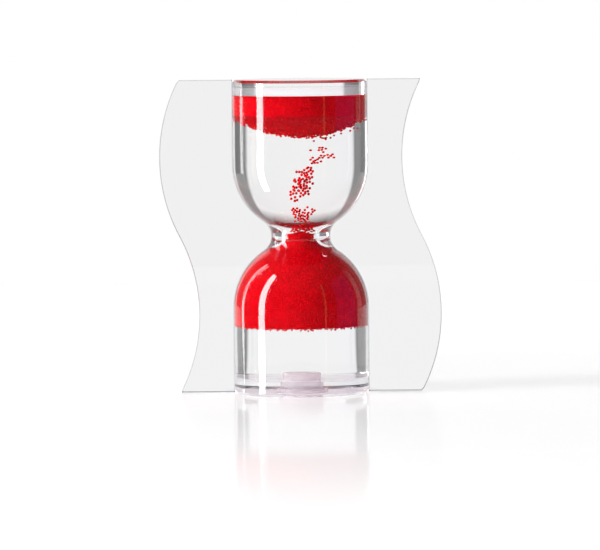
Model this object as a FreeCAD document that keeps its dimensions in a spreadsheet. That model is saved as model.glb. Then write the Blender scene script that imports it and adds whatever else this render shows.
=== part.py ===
"""Liquid motion timer: an hourglass-shaped clear vessel with liquid, floating red beads and two S-curved side panels.

Millimetres, +Z up, +X to the right, the origin at the centre of the base. The vessel's axis is the Z axis.
"""

import FreeCAD
import Part

import math
import os

import Sketcher

# Driving dimensions, in millimetres unless the name says otherwise
SIZES = {
    "overall_height": 125.0,
    "tube_diameter": 53.6,
    "tube_wall": 3.3,
    "rim_chamfer": 1.1,
    "neck_diameter": 23.0,
    "neck_fillet": 7.6,
    "neck_bore": 9.2,
    "disc_thickness": 3.0,
    "disc_bore": 8.6,
    "cap_flange": 3.0,
    "cap_spigot": 3.2,
    "glue_gap": 0.05,
    "liquid_gap": 0.05,
    "plug_diameter": 11.5,
    "plug_rise": 2.0,
    "plug_flange_diameter": 14.0,
    "plug_flange_thickness": 1.8,
    "plug_recess": 0.3,
    "plug_chamfer": 0.4,
    "panel_thickness": 2.5,
    "panel_reach": 48.5,
    "panel_bulge": 7.7,
    "panel_corner": 0.5,
    "bead_diameter": 0.85,
    "bead_clearance": 0.3,
    "top_bed_depth_at_wall": 8.5,
    "top_bed_depth_at_axis": 16.7,
    "mound_round_reach": 12.0,
    "mound_round_drop": 2.75,
    "low_bed_depth_at_wall": 7.29,
    "low_bed_rim_width": 4.45,
    "low_bed_crater_depth": 6.0,
    "neck_heap_height": 3.2,
    "low_clump_x": 1.4,
    "low_clump_y": -4.6,
    "low_clump_share_of_rise": 0.2955,
    "low_clump_half_width": 4.7,
    "low_clump_half_depth": 2.1,
    "low_clump_half_height": 4.0,
    "mid_clump_x": 0.6,
    "mid_clump_y": 1.2,
    "mid_clump_share_of_rise": 0.578,
    "mid_clump_half_width": 4.6,
    "mid_clump_half_depth": 1.8,
    "mid_clump_half_height": 5.6,
    "high_clump_x": 5.7,
    "high_clump_y": 6.6,
    "high_clump_share_of_rise": 0.808,
    "high_clump_half_width": 4.8,
    "high_clump_half_depth": 1.7,
    "high_clump_half_height": 3.7,
}

# Beads tried for each rising clump, from the dense one above the neck to the stragglers near the bed
CLUMP_BEADS = {"low": 64, "mid": 58, "high": 24}

# A low-discrepancy sequence, which spreads the beads of a clump evenly without a grid
SPREAD_ROOT = 1.22074408460575947536
SPREAD_SHARES = [SPREAD_ROOT ** -(axis + 1) for axis in range(3)]
STEPS_PER_BEAD = 20

# Lengths that follow from the driving dimensions: alias, formula
DERIVED = {
    "middle": "dims.overall_height / 2",
    "tube_radius": "dims.tube_diameter / 2",
    "inner_radius": "derived.tube_radius - dims.tube_wall",
    "neck_radius": "dims.neck_diameter / 2",
    "bore_radius": "dims.neck_bore / 2",
    "disc_half": "dims.disc_thickness / 2",
    "cap_thickness": "dims.cap_flange + dims.cap_spigot",
    "shoulder_rise": (
        "sqrt((derived.tube_radius + dims.neck_fillet) ^ 2"
        " - (derived.neck_radius + dims.neck_fillet) ^ 2)"
    ),
    "bore_fillet": (
        "(derived.shoulder_rise ^ 2 / (derived.inner_radius - derived.bore_radius)"
        " - derived.inner_radius - derived.bore_radius) / 2"
    ),
    "wet_radius": "derived.inner_radius - dims.liquid_gap",
    "wet_fillet": "derived.bore_fillet + dims.liquid_gap",
    "bead_radius": "dims.bead_diameter / 2",
    "ceiling_rise": "derived.middle - derived.cap_thickness",
    "bed_wall_rise": "derived.ceiling_rise - dims.top_bed_depth_at_wall",
    "bed_axis_rise": "derived.ceiling_rise - dims.top_bed_depth_at_axis",
    "low_bed_drop": "derived.shoulder_rise + dims.low_bed_depth_at_wall",
    "low_bed_underside": "derived.middle - derived.low_bed_drop",
    "crater_reach": "derived.wet_radius - dims.low_bed_rim_width",
    "low_clump_rise": "derived.bed_axis_rise * dims.low_clump_share_of_rise",
    "mid_clump_rise": "derived.bed_axis_rise * dims.mid_clump_share_of_rise",
    "high_clump_rise": "derived.bed_axis_rise * dims.high_clump_share_of_rise",
    "mound_radius": "(dims.mound_round_reach ^ 2 + dims.mound_round_drop ^ 2) / (2 * dims.mound_round_drop)",
    "panel_arc": (
        "((derived.middle / 2) ^ 2 + dims.panel_bulge ^ 2) / (2 * dims.panel_bulge)"
    ),
}

doc = FreeCAD.newDocument("liquid_motion_timer")
nodes = []


def fill_sheets():
    """The driving sheet holds plain numbers, and the second sheet the formulas that follow from them."""
    dims = doc.addObject("Spreadsheet::Sheet", "dims")
    for line, (name, value) in enumerate(SIZES.items(), start=1):
        dims.set(f"A{line}", name)
        dims.set(f"B{line}", str(value))
        dims.setAlias(f"B{line}", name)
    doc.recompute()
    derived = doc.addObject("Spreadsheet::Sheet", "derived")
    for line, (name, formula) in enumerate(DERIVED.items(), start=1):
        derived.set(f"A{line}", name)
        derived.set(f"B{line}", "=" + formula.replace("derived.", ""))
        derived.setAlias(f"B{line}", name)
    doc.recompute()
    return dims


sheet = fill_sheets()


def value_of(formula):
    """The number that a formula gives now."""
    return float(sheet.evalExpression(formula))


def rise(side, formula):
    """A height formula, measured from the middle plane: up for side +1 and down for side -1."""
    sign = "+" if side > 0 else "-"
    return f"derived.middle {sign} ({formula})"


def point(across, height):
    """A corner of an outline: two formulas."""
    return {"across": across, "height": height}


def arc_to(across, height, radius, centre_across, centre_height):
    """The end of an arc that starts at the corner before, with its radius and the centre's place."""
    return {
        "across": across,
        "height": height,
        "radius": radius,
        "centre": (centre_across, centre_height),
    }


def place_of(corner):
    """A corner's place in the sketch plane."""
    return FreeCAD.Vector(value_of(corner["across"]), value_of(corner["height"]), 0)


def origin_plane(body, role):
    """One of the body's own origin planes."""
    return next(f for f in body.Origin.OriginFeatures if f.Role == role)


def new_sketch(body, name, role="XZ_Plane"):
    """An empty sketch on one of the body's origin planes."""
    sketch = body.newObject("Sketcher::SketchObject", name)
    sketch.AttachmentSupport = (origin_plane(body, role), [""])
    sketch.MapMode = "FlatFace"
    return sketch


def bind(sketch, kind, *where, formula):
    """A dimension of the sketch that follows a formula."""
    index = sketch.addConstraint(Sketcher.Constraint(kind, *where, value_of(formula)))
    sketch.setExpression(f"Constraints[{index}]", formula)


def draw_edge(sketch, before, corner):
    """A line or an arc from one corner to the next, and which of its ends comes first: 1 or 2."""
    start, end = place_of(before), place_of(corner)
    if "radius" not in corner:
        return sketch.addGeometry(Part.LineSegment(start, end), False), 1
    centre = FreeCAD.Vector(*(value_of(f) for f in corner["centre"]), 0)
    first = math.atan2(start.y - centre.y, start.x - centre.x)
    last = math.atan2(end.y - centre.y, end.x - centre.x)
    turn = (last - first) % (2 * math.pi)
    forward = turn < math.pi
    circle = Part.Circle(centre, FreeCAD.Vector(0, 0, 1), value_of(corner["radius"]))
    angles = (first, last) if forward else (last, first)
    return sketch.addGeometry(Part.ArcOfCircle(circle, *angles), False), 1 if forward else 2


def draw_outline(sketch, corners):
    """A closed outline whose corners and radii all follow their formulas. Each arc is under half a turn."""
    edges = [draw_edge(sketch, corners[i - 1], corner) for i, corner in enumerate(corners)]
    for i, (edge, first_end) in enumerate(edges):
        corner = corners[i]
        following, its_first_end = edges[(i + 1) % len(edges)]
        last_end = 3 - first_end
        sketch.addConstraint(Sketcher.Constraint("Coincident", edge, last_end, following, its_first_end))
        if corner["across"] == "0":
            sketch.addConstraint(Sketcher.Constraint("PointOnObject", edge, last_end, -2))
        else:
            bind(sketch, "DistanceX", -1, 1, edge, last_end, formula=corner["across"])
        if corner["height"] == "0":
            sketch.addConstraint(Sketcher.Constraint("PointOnObject", edge, last_end, -1))
        else:
            bind(sketch, "DistanceY", -1, 1, edge, last_end, formula=corner["height"])
        if "radius" in corner:
            bind(sketch, "Radius", edge, formula=corner["radius"])


def new_body(label):
    """An empty body that becomes a node of its own."""
    body = doc.addObject("PartDesign::Body", label)
    body.Label = label
    nodes.append(body)
    return body


def turn_profile(body, corners, kind="Revolution", name="turned"):
    """A full turn of an outline round the vessel's axis, added to the body or cut from it."""
    sketch = new_sketch(body, f"{body.Label}_{name}_outline")
    draw_outline(sketch, corners)
    feature = body.newObject(f"PartDesign::{kind}", f"{body.Label}_{name}")
    feature.Profile = sketch
    feature.ReferenceAxis = (sketch, ["V_Axis"])
    feature.Angle = 360
    doc.recompute()
    return feature


def on_fillet(radius_formula, height_formula, centre_across):
    """How far from the axis the neck's hollow curve is at a height from the middle plane."""
    return f"{centre_across} - sqrt(({radius_formula}) ^ 2 - ({height_formula}) ^ 2)"


def shoulder_meets_fillet(shoulder_radius, fillet_radius, fillet_across):
    """Where the round shoulder runs into the neck's hollow curve: across, and height from the middle plane."""
    reach = f"(({shoulder_radius}) + ({fillet_radius}))"
    across = f"({fillet_across}) * ({shoulder_radius}) / {reach}"
    height = f"derived.shoulder_rise * ({fillet_radius}) / {reach}"
    return across, height


OUTER_FILLET_ACROSS = "(derived.neck_radius + dims.neck_fillet)"
INNER_FILLET_ACROSS = "(derived.bore_radius + derived.bore_fillet)"


def make_chamber(label, side):
    """One half of the vessel: a straight wall, a round shoulder and half of the neck, open at its far end."""
    body = new_body(label)
    far_end = "derived.middle - dims.cap_flange"
    out_r, out_h = shoulder_meets_fillet("derived.tube_radius", "dims.neck_fillet", OUTER_FILLET_ACROSS)
    in_r, in_h = shoulder_meets_fillet("derived.inner_radius", "derived.bore_fillet", INNER_FILLET_ACROSS)
    neck_out = on_fillet("dims.neck_fillet", "derived.disc_half", OUTER_FILLET_ACROSS)
    neck_in = on_fillet("derived.bore_fillet", "derived.disc_half", INNER_FILLET_ACROSS)
    shoulder = ("0", rise(side, "derived.shoulder_rise"))
    corners = [
        point(neck_out, rise(side, "derived.disc_half")),
        arc_to(out_r, rise(side, out_h), "dims.neck_fillet", OUTER_FILLET_ACROSS, "derived.middle"),
        arc_to("derived.tube_radius", shoulder[1], "derived.tube_radius", *shoulder),
        point("derived.tube_radius", rise(side, far_end)),
        point("derived.inner_radius", rise(side, far_end)),
        point("derived.inner_radius", shoulder[1]),
        arc_to(in_r, rise(side, in_h), "derived.inner_radius", *shoulder),
        arc_to(
            neck_in,
            rise(side, "derived.disc_half"),
            "derived.bore_fillet",
            INNER_FILLET_ACROSS,
            "derived.middle",
        ),
    ]
    turn_profile(body, corners)
    return body


def make_neck_disc():
    """The flat ring between the two necks, whose bore lets the beads through a few at a time."""
    body = new_body("neck_disc")
    rim = "derived.neck_radius"
    half = "derived.disc_half - dims.glue_gap"
    corners = [
        point("dims.disc_bore / 2", rise(-1, half)),
        point(rim, rise(-1, half)),
        point(rim, rise(1, half)),
        point("dims.disc_bore / 2", rise(1, half)),
    ]
    turn_profile(body, corners)
    return body


def make_cap(label, side):
    """A flat end: a flange over the wall's end, with a bevelled rim, and a spigot glued into the bore."""
    body = new_body(label)
    spigot_radius = "derived.inner_radius - dims.glue_gap"
    seat = "derived.middle - dims.cap_flange + dims.glue_gap"
    outside_face = "dims.overall_height" if side > 0 else "0"
    corners = [
        point("0", rise(side, "derived.ceiling_rise")),
        point(spigot_radius, rise(side, "derived.ceiling_rise")),
        point(spigot_radius, rise(side, seat)),
        point("derived.tube_radius", rise(side, seat)),
        point("derived.tube_radius", rise(side, "derived.middle - dims.rim_chamfer")),
        point("derived.tube_radius - dims.rim_chamfer", outside_face),
        point("0", outside_face),
    ]
    turn_profile(body, corners)
    return body


def cut_plug_hole(cap):
    """The filling hole through the lower cap, with a counterbore for the plug's flange."""
    hole = "dims.plug_diameter / 2 + dims.glue_gap"
    counterbore = "dims.plug_flange_diameter / 2 + dims.glue_gap"
    ledge = "dims.plug_recess + dims.plug_flange_thickness + dims.glue_gap"
    corners = [
        point("0", "0"),
        point(counterbore, "0"),
        point(counterbore, ledge),
        point(hole, ledge),
        point(hole, "derived.cap_thickness + dims.plug_rise"),
        point("0", "derived.cap_thickness + dims.plug_rise"),
    ]
    turn_profile(cap, corners, kind="Groove", name="filling_hole")


def make_fill_plug():
    """The plug in the filling hole: a flange in the counterbore, and a shank that stands above the floor."""
    body = new_body("fill_plug")
    shank = "dims.plug_diameter / 2"
    flange = "dims.plug_flange_diameter / 2"
    ledge = "dims.plug_recess + dims.plug_flange_thickness"
    top = "derived.cap_thickness + dims.plug_rise"
    corners = [
        point("0", "dims.plug_recess"),
        point(flange, "dims.plug_recess"),
        point(flange, ledge),
        point(shank, ledge),
        point(shank, f"{top} - dims.plug_chamfer"),
        point(f"{shank} - dims.plug_chamfer", top),
        point("0", top),
    ]
    turn_profile(body, corners)
    return body


def vessel_envelope():
    """The outline of the whole vessel with a glue gap round it, which the panels' inner edges follow."""
    gap = "dims.glue_gap"
    shoulder_radius = f"derived.tube_radius + {gap}"
    fillet_radius = f"dims.neck_fillet - {gap}"
    across, height = shoulder_meets_fillet(shoulder_radius, fillet_radius, OUTER_FILLET_ACROSS)
    over = "derived.middle + dims.rim_chamfer"
    neck = f"derived.neck_radius + {gap}"
    low, high = rise(-1, "derived.shoulder_rise"), rise(1, "derived.shoulder_rise")
    return [
        point("0", "0"),
        point(shoulder_radius, "0"),
        point(shoulder_radius, low),
        arc_to(across, rise(-1, height), shoulder_radius, "0", low),
        arc_to(neck, "derived.middle", fillet_radius, OUTER_FILLET_ACROSS, "derived.middle"),
        arc_to(across, rise(1, height), fillet_radius, OUTER_FILLET_ACROSS, "derived.middle"),
        arc_to(shoulder_radius, high, shoulder_radius, "0", high),
        point(shoulder_radius, rise(1, over)),
        point("0", rise(1, over)),
    ]


def round_outer_corners(body, before):
    """Small rounds where the S-curved edge meets the panel's top and bottom."""
    reach = value_of("dims.panel_reach")
    near = value_of("dims.panel_corner")
    ends = (0, value_of("dims.overall_height"))
    names = []
    for index, edge in enumerate(before.Shape.Edges, start=1):
        middle = edge.CenterOfMass
        at_an_end = min(abs(middle.z - end) for end in ends) < near
        if edge.BoundBox.YLength > near and abs(middle.x - reach) < near and at_an_end:
            names.append(f"Edge{index}")
    fillet = body.newObject("PartDesign::Fillet", f"{body.Label}_corners")
    fillet.Base = (before, names)
    fillet.setExpression("Radius", "dims.panel_corner")
    doc.recompute()


def make_side_panel(label):
    """A thin sheet in the vessel's middle plane: its outer edge is an S of two equal arcs."""
    body = new_body(label)
    sketch = new_sketch(body, f"{label}_sheet_outline")
    quarter = "derived.middle / 2"
    low_centre = ("dims.panel_reach + dims.panel_bulge - derived.panel_arc", quarter)
    high_centre = ("dims.panel_reach - dims.panel_bulge + derived.panel_arc", f"derived.middle + {quarter}")
    corners = [
        point("0", "0"),
        point("dims.panel_reach", "0"),
        arc_to("dims.panel_reach", "derived.middle", "derived.panel_arc", *low_centre),
        arc_to("dims.panel_reach", "dims.overall_height", "derived.panel_arc", *high_centre),
        point("0", "dims.overall_height"),
    ]
    draw_outline(sketch, corners)
    pad = body.newObject("PartDesign::Pad", f"{label}_sheet")
    pad.Profile = sketch
    pad.Midplane = True
    pad.setExpression("Length", "dims.panel_thickness")
    doc.recompute()
    cut = turn_profile(body, vessel_envelope(), kind="Groove", name="vessel")
    round_outer_corners(body, cut)
    return body


def turn_end_over_end(body):
    """Half a turn about the line through the object's centre that runs front to back."""
    body.Placement = FreeCAD.Placement(FreeCAD.Vector(), FreeCAD.Rotation(FreeCAD.Vector(0, 1, 0), 180))
    body.setExpression("Placement.Base.z", "dims.overall_height")


def make_upper_bed():
    """The beads under the ceiling: flat on top, and a rounded mound hanging down below."""
    body = new_body("upper_bead_bed")
    top = rise(1, "derived.ceiling_rise - dims.liquid_gap")
    round_end = rise(1, "derived.bed_axis_rise + dims.mound_round_drop")
    corners = [
        point("0", top),
        point("derived.wet_radius", top),
        point("derived.wet_radius", rise(1, "derived.bed_wall_rise")),
        point("dims.mound_round_reach", round_end),
        arc_to(
            "0",
            rise(1, "derived.bed_axis_rise"),
            "derived.mound_radius",
            "0",
            rise(1, "derived.bed_axis_rise + derived.mound_radius"),
        ),
    ]
    turn_profile(body, corners)
    return body


def make_lower_bed():
    """The beads under the lower shoulder, with a shallow crater below where they drain towards the neck."""
    body = new_body("lower_bead_bed")
    in_r, in_h = shoulder_meets_fillet("derived.wet_radius", "derived.wet_fillet", INNER_FILLET_ACROSS)
    neck_in = on_fillet("derived.wet_fillet", "derived.disc_half", INNER_FILLET_ACROSS)
    shoulder = rise(-1, "derived.shoulder_rise")
    crater_floor = rise(-1, "derived.low_bed_drop - dims.low_bed_crater_depth")
    corners = [
        point("0", rise(-1, "derived.disc_half")),
        point(neck_in, rise(-1, "derived.disc_half")),
        arc_to(in_r, rise(-1, in_h), "derived.wet_fillet", INNER_FILLET_ACROSS, "derived.middle"),
        arc_to("derived.wet_radius", shoulder, "derived.wet_radius", "0", shoulder),
        point("derived.wet_radius", "derived.low_bed_underside"),
        point("derived.crater_reach", "derived.low_bed_underside"),
        point("dims.disc_bore / 2", crater_floor),
        point("0", crater_floor),
    ]
    turn_profile(body, corners)
    return body


def make_neck_beads():
    """The beads in the neck: a column through the disc with a small heap on top."""
    body = new_body("neck_beads")
    column = "dims.disc_bore / 2 - dims.liquid_gap"
    corners = [
        point("0", rise(-1, "derived.disc_half - dims.liquid_gap")),
        point(column, rise(-1, "derived.disc_half - dims.liquid_gap")),
        point(column, rise(1, "derived.disc_half")),
        point("0", rise(1, "dims.neck_heap_height")),
    ]
    turn_profile(body, corners)
    return body


def make_lower_liquid():
    """The clear liquid in the lower chamber, below the beads and round the plug's top."""
    body = new_body("lower_liquid")
    gap = "dims.liquid_gap"
    crater_floor = rise(-1, f"derived.low_bed_drop - dims.low_bed_crater_depth + {gap}")
    plug_top = f"derived.cap_thickness + dims.plug_rise + {gap}"
    plug_side = f"dims.plug_diameter / 2 + {gap}"
    floor = f"derived.cap_thickness + {gap}"
    corners = [
        point("0", plug_top),
        point(plug_side, plug_top),
        point(plug_side, floor),
        point("derived.wet_radius", floor),
        point("derived.wet_radius", f"derived.low_bed_underside - {gap}"),
        point("derived.crater_reach", f"derived.low_bed_underside - {gap}"),
        point("dims.disc_bore / 2", crater_floor),
        point("0", crater_floor),
    ]
    turn_profile(body, corners)
    return body


def clear_channel(body, clump):
    """The way of one rising clump through the liquid, from below it up to the bed of beads."""
    sketch = new_sketch(body, f"{clump}_channel_outline", role="XY_Plane")
    margin = "(derived.bead_radius + dims.bead_clearance)"
    half_width = f"dims.{clump}_clump_half_width + {margin}"
    half_depth = f"dims.{clump}_clump_half_depth + {margin}"
    bottom = rise(1, f"derived.{clump}_clump_rise - dims.{clump}_clump_half_height - {margin}")
    centre = FreeCAD.Vector(value_of(f"dims.{clump}_clump_x"), value_of(f"dims.{clump}_clump_y"), 0)
    major = centre + FreeCAD.Vector(value_of(half_width), 0, 0)
    minor = centre + FreeCAD.Vector(0, value_of(half_depth), 0)
    edge = sketch.addGeometry(Part.Ellipse(major, minor, centre), False)
    sketch.exposeInternalGeometry(edge)
    long_axis, short_axis = edge + 1, edge + 2
    sketch.addConstraint(Sketcher.Constraint("Horizontal", long_axis))
    bind(sketch, "DistanceX", -1, 1, edge, 3, formula=f"dims.{clump}_clump_x")
    bind(sketch, "DistanceY", -1, 1, edge, 3, formula=f"dims.{clump}_clump_y")
    bind(sketch, "Distance", long_axis, formula=f"2 * ({half_width})")
    bind(sketch, "Distance", short_axis, formula=f"2 * ({half_depth})")
    sketch.setExpression("AttachmentOffset.Base.z", bottom)
    pocket = body.newObject("PartDesign::Pocket", f"{clump}_channel")
    pocket.Profile = sketch
    pocket.Type = "ThroughAll"
    pocket.Reversed = True
    doc.recompute()


def make_upper_liquid():
    """The clear liquid in the upper chamber, round the beads in the neck and below the bed."""
    body = new_body("upper_liquid")
    gap = "dims.liquid_gap"
    in_r, in_h = shoulder_meets_fillet("derived.wet_radius", "derived.wet_fillet", INNER_FILLET_ACROSS)
    neck_in = on_fillet("derived.wet_fillet", "derived.disc_half", INNER_FILLET_ACROSS)
    shoulder = rise(1, "derived.shoulder_rise")
    corners = [
        point("0", rise(1, f"dims.neck_heap_height + {gap}")),
        point("dims.disc_bore / 2 - dims.liquid_gap", rise(1, f"derived.disc_half + {gap}")),
        point(neck_in, rise(1, f"derived.disc_half + {gap}")),
        arc_to(in_r, rise(1, in_h), "derived.wet_fillet", INNER_FILLET_ACROSS, "derived.middle"),
        arc_to("derived.wet_radius", shoulder, "derived.wet_radius", "0", shoulder),
        point("derived.wet_radius", rise(1, f"derived.bed_wall_rise - {gap}")),
        point("dims.mound_round_reach", rise(1, f"derived.bed_axis_rise + dims.mound_round_drop - {gap}")),
        arc_to(
            "0",
            rise(1, f"derived.bed_axis_rise - {gap}"),
            "derived.mound_radius",
            "0",
            rise(1, f"derived.bed_axis_rise + derived.mound_radius - {gap}"),
        ),
    ]
    turn_profile(body, corners)
    for clump in CLUMP_BEADS:
        clear_channel(body, clump)
    return body


def spread_places(clump, tries):
    """Places inside a clump, as shares of its half sizes, with no two beads touching."""
    halves = [value_of(f"dims.{clump}_clump_half_{side}") for side in ("width", "depth", "height")]
    apart = value_of("dims.bead_diameter + dims.liquid_gap")
    places = []
    step = 0
    while len(places) < tries and step < STEPS_PER_BEAD * tries:
        step += 1
        shares = [2 * ((0.5 + step * share) % 1) - 1 for share in SPREAD_SHARES]
        if sum(share * share for share in shares) > 1:
            continue
        spot = FreeCAD.Vector(*(share * half for share, half in zip(shares, halves)))
        if all((spot - other).Length > apart for other, _ in places):
            places.append((spot, shares))
    return [shares for _, shares in places]


def make_clump(clump, tries):
    """A loose group of beads on its way up: each bead is a ball of its own."""
    beads = []
    centre = {
        "x": f"dims.{clump}_clump_x",
        "y": f"dims.{clump}_clump_y",
        "z": rise(1, f"derived.{clump}_clump_rise"),
    }
    for number, shares in enumerate(spread_places(clump, tries)):
        bead = doc.addObject("Part::Sphere", f"{clump}_bead_{number}")
        bead.setExpression("Radius", "derived.bead_radius")
        for axis, side, share in zip("xyz", ("width", "depth", "height"), shares):
            offset = f"({share:.5f}) * dims.{clump}_clump_half_{side}"
            bead.setExpression(f"Placement.Base.{axis}", f"{centre[axis]} + {offset}")
        beads.append(bead)
    group = doc.addObject("Part::Compound", f"rising_beads_{clump}")
    group.Label = f"rising_beads_{clump}"
    group.Links = beads
    nodes.append(group)
    return group


def check_and_write():
    """Stops at anything that failed, then writes each node's solids to a file of its own name."""
    doc.recompute()
    for thing in doc.Objects:
        if "Invalid" in thing.State or "Error" in thing.State:
            raise RuntimeError(f"{thing.Name} failed: {thing.State}")
    for node in nodes:
        if node.Shape.isNull() or not node.Shape.isValid() or not node.Shape.Solids:
            raise RuntimeError(f"{node.Label} has no valid solid")
    os.makedirs("parts", exist_ok=True)
    for node in nodes:
        node.Shape.exportStep(f"parts/{node.Label}.step")
        print(f"{node.Label}: {len(node.Shape.Solids)} solids, {node.Shape.Volume:.1f} mm3")


make_chamber("upper_chamber", 1)
make_chamber("lower_chamber", -1)
make_neck_disc()
make_cap("upper_end_cap", 1)
cut_plug_hole(make_cap("lower_end_cap", -1))
make_fill_plug()
make_side_panel("right_side_panel")
turn_end_over_end(make_side_panel("left_side_panel"))
make_upper_liquid()
make_lower_liquid()
make_upper_bed()
make_lower_bed()
make_neck_beads()
for clump_name, bead_tries in CLUMP_BEADS.items():
    make_clump(clump_name, bead_tries)
check_and_write()
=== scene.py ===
"""Liquid motion timer: the visible model, its materials, the studio and the camera, in the frame's own metres."""

import math
import random

import bmesh
import bpy
from mathutils import Matrix, Vector


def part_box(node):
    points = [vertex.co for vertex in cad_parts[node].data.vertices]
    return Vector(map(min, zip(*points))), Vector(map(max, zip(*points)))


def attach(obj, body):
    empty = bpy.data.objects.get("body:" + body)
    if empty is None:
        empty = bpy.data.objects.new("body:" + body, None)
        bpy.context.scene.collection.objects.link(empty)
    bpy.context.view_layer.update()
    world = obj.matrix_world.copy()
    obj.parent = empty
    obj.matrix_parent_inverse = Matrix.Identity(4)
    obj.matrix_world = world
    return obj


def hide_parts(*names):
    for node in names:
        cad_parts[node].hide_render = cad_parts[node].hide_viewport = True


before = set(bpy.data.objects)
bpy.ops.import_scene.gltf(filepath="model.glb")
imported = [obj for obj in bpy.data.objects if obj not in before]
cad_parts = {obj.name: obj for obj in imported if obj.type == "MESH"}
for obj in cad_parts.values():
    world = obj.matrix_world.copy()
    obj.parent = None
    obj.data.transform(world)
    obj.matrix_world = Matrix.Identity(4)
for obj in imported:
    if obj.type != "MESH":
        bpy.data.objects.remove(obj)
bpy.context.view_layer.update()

MM = 0.001
TURN = 2 * math.pi
AROUND = 192

# ------------------------------------------------------------------ sizes, from the frame and named ones


def extent(node, axis):
    """How far a CAD node reaches along an axis: (from, to)."""
    low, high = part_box(node)
    return low[axis], high[axis]


def middle_and_half(node, axis):
    """The middle of a CAD node along an axis, and half its extent."""
    low, high = extent(node, axis)
    return (low + high) / 2, (high - low) / 2


HEIGHT = extent("upper_end_cap", 2)[1]
MIDDLE = HEIGHT / 2
TUBE_RADIUS = extent("upper_chamber", 0)[1]
CAP_THICKNESS = extent("lower_end_cap", 2)[1]
CAP_FLANGE = extent("lower_chamber", 2)[0]
DISC_HALF = extent("upper_chamber", 2)[0] - MIDDLE
NECK_RADIUS = extent("neck_disc", 0)[1]
WET_RADIUS = extent("lower_bead_bed", 0)[1]
LIQUID_GAP = 0.05 * MM
INNER_RADIUS = WET_RADIUS + LIQUID_GAP
COLUMN_RADIUS = extent("neck_beads", 0)[1]
DISC_BORE = COLUMN_RADIUS + LIQUID_GAP
HEAP_TOP = extent("neck_beads", 2)[1] - MIDDLE
LOW_BED_UNDERSIDE = MIDDLE - extent("lower_bead_bed", 2)[0]
TOP_BED_APEX = extent("upper_bead_bed", 2)[0] - MIDDLE
PLUG_TOP = extent("fill_plug", 2)[1]
PLUG_FLANGE_RADIUS = extent("fill_plug", 0)[1]
PLUG_BOTTOM = extent("fill_plug", 2)[0]
PANEL_HALF = extent("right_side_panel", 1)[1]

GLUE_GAP = LIQUID_GAP
RIM_CHAMFER = 1.1 * MM
NECK_FILLET = 7.6 * MM
NECK_BORE_RADIUS = 4.6 * MM
PLUG_RADIUS = 5.75 * MM
PLUG_FLANGE_THICKNESS = 1.8 * MM
PLUG_CHAMFER = 0.4 * MM
TOP_BED_WALL_DEPTH = 8.5 * MM
MOUND_REACH = 12.0 * MM
MOUND_DROP = 2.75 * MM
CRATER_RIM_WIDTH = 4.45 * MM
CRATER_DEPTH = 6.0 * MM
PANEL_REACH = 48.5 * MM
PANEL_BULGE = 7.7 * MM
PANEL_CORNER = 0.5 * MM
SHEET_BEVEL = 0.3 * MM
BEAD_RADIUS = 0.425 * MM
BEAD_PITCH = 0.88 * MM
BEAD_SLACK = 0.3 * MM
CORE_DEPTH = 0.5 * MM
CORE_UNDER_HEAP = 0.3 * MM
CORE_UNDER_APEX = 0.8 * MM
HEAP_SHOULDER = 0.3 * MM
PUFF_CENTRE = (0.5 * MM, -0.2 * MM, 1.0 * MM)
PUFF_HALVES = (3.9 * MM, 3.7 * MM, 3.2 * MM)

HOLLOW_STEPS, SHOULDER_STEPS, PANEL_STEPS, MOUND_STEPS = 20, 36, 48, 16
ON_AXIS = 1e-7

CEILING = MIDDLE - CAP_THICKNESS
BED_WALL = CEILING - TOP_BED_WALL_DEPTH
SHOULDER = math.sqrt((TUBE_RADIUS + NECK_FILLET) ** 2 - (NECK_RADIUS + NECK_FILLET) ** 2)
BORE_FILLET = (SHOULDER**2 / (INNER_RADIUS - NECK_BORE_RADIUS) - INNER_RADIUS - NECK_BORE_RADIUS) / 2

# ------------------------------------------------------------------ materials


def new_material(name):
    """A material with its node tree emptied, and its output node."""
    material = bpy.data.materials.new(name)
    material.use_nodes = True
    material.node_tree.nodes.clear()
    return material, material.node_tree.nodes.new("ShaderNodeOutputMaterial")


def add(material, kind, **values):
    """A node of the material. A value whose name is a socket's sets that socket."""
    node = material.node_tree.nodes.new(kind)
    for name, value in values.items():
        socket = name.replace("_", " ")
        if socket in node.inputs:
            node.inputs[socket].default_value = value
        else:
            setattr(node, name, value)
    return node


def join(material, start, end):
    """A link between two sockets."""
    material.node_tree.links.new(start, end)


def place(material):
    """Object coordinates, in metres."""
    return add(material, "ShaderNodeTexCoord").outputs["Object"]


def noise(material, scale, detail):
    """A noise texture's value over object coordinates."""
    texture = add(material, "ShaderNodeTexNoise", Scale=scale, Detail=detail, Roughness=0.5)
    join(material, place(material), texture.inputs["Vector"])
    return texture.outputs["Fac"]


def ranged(material, value, low, high, start=0.0, end=1.0):
    """The value moved from one range to another."""
    node = add(material, "ShaderNodeMapRange", From_Min=start, From_Max=end, To_Min=low, To_Max=high)
    join(material, value, node.inputs["Value"])
    return node.outputs["Result"]


def bumped(material, height, strength, distance):
    """A bump from a height."""
    node = add(material, "ShaderNodeBump", Strength=strength, Distance=distance)
    join(material, height, node.inputs["Height"])
    return node.outputs["Normal"]


def clear_plastic(name, tint, ior, ripple=0.004):
    """Clear plastic that bends light and lets the lamps through."""
    material, output = new_material(name)
    shader = add(
        material,
        "ShaderNodeBsdfPrincipled",
        Base_Color=(*tint, 1),
        Roughness=0.0,
        IOR=ior,
        Transmission_Weight=1.0,
    )
    join(material, bumped(material, noise(material, 90, 2.0), ripple, 0.2 * MM), shader.inputs["Normal"])
    through = add(material, "ShaderNodeBsdfTransparent", Color=(*tint, 1))
    path = add(material, "ShaderNodeLightPath")
    mix = add(material, "ShaderNodeMixShader")
    join(material, path.outputs["Is Shadow Ray"], mix.inputs["Fac"])
    join(material, shader.outputs[0], mix.inputs[1])
    join(material, through.outputs[0], mix.inputs[2])
    join(material, mix.outputs[0], output.inputs["Surface"])
    return material


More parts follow.
